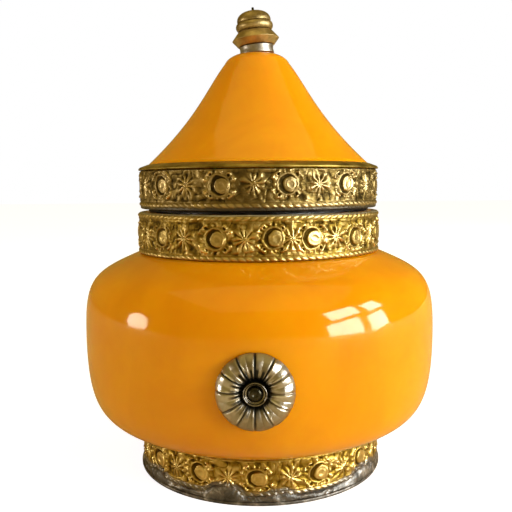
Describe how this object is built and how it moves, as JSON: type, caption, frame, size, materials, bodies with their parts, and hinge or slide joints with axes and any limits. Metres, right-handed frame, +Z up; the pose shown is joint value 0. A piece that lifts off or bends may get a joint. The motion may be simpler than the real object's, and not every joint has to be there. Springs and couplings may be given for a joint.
{
  "type": "powder jar",
  "caption": "Bulbous amber-resin jar with a lift-off conical lid, embossed brass strips round its foot, neck and lid, a silver flower rosette and a beaded metal finial.",
  "frame": {"origin": "centre of the foot's underside, which stands on the table", "axes": "+Z up along the jar's axis, -Y out through the flower rosette on the front, +X to the right as seen from the front"},
  "size_m": [0.1, 0.1031, 0.1308],
  "materials": {
    "amber_resin": "polished translucent resin",
    "embossed_brass": "embossed strip, tarnished in its recesses",
    "plain_brass": "turned or bent, dull",
    "silver_metal": "pressed silver-coloured metal, polished",
    "dark_steel": "darkened",
    "tinned_metal": "tinned sheet, dull",
    "solder": "soft solder, dull and uneven"
  },
  "bodies": {
    "jar": {"bowl": "amber_resin", "foot_base_plate": "tinned_metal", "foot_liner_ring": "tinned_metal", "foot_band": "embossed_brass", "foot_solder_seam": "solder", "foot_lap_solder": "solder", "neck_rim_cap": "tinned_metal", "neck_band": "embossed_brass", "neck_lap_solder": "solder", "rosette_petals": "silver_metal", "rosette_cup": "silver_metal", "rosette_rivet": "dark_steel", "rosette_backing_washer": "tinned_metal"},
    "collar": {"lid_collar": "tinned_metal", "lid_seat_ring": "tinned_metal"},
    "lid": {"lid_cone": "amber_resin", "lid_liner_ring": "tinned_metal", "lid_band": "embossed_brass", "lid_lap_solder": "solder", "lid_bezel": "plain_brass", "finial_ferrule": "silver_metal", "finial_bicone": "plain_brass", "finial_round_bead": "plain_brass", "finial_cap": "plain_brass", "finial_pin": "tinned_metal", "finial_inner_washer": "tinned_metal"}
  },
  "joints": [
    {"name": "lid_lift", "type": "slide", "parent": "jar", "child": "collar", "axis": [0, 0, 1], "range_m": [0, 0.06]},
    {"name": "lid_turn", "type": "hinge", "parent": "collar", "child": "lid", "pos_m": [0, 0, 0.08], "axis": [0, 0, 1], "continuous": true}
  ]
}
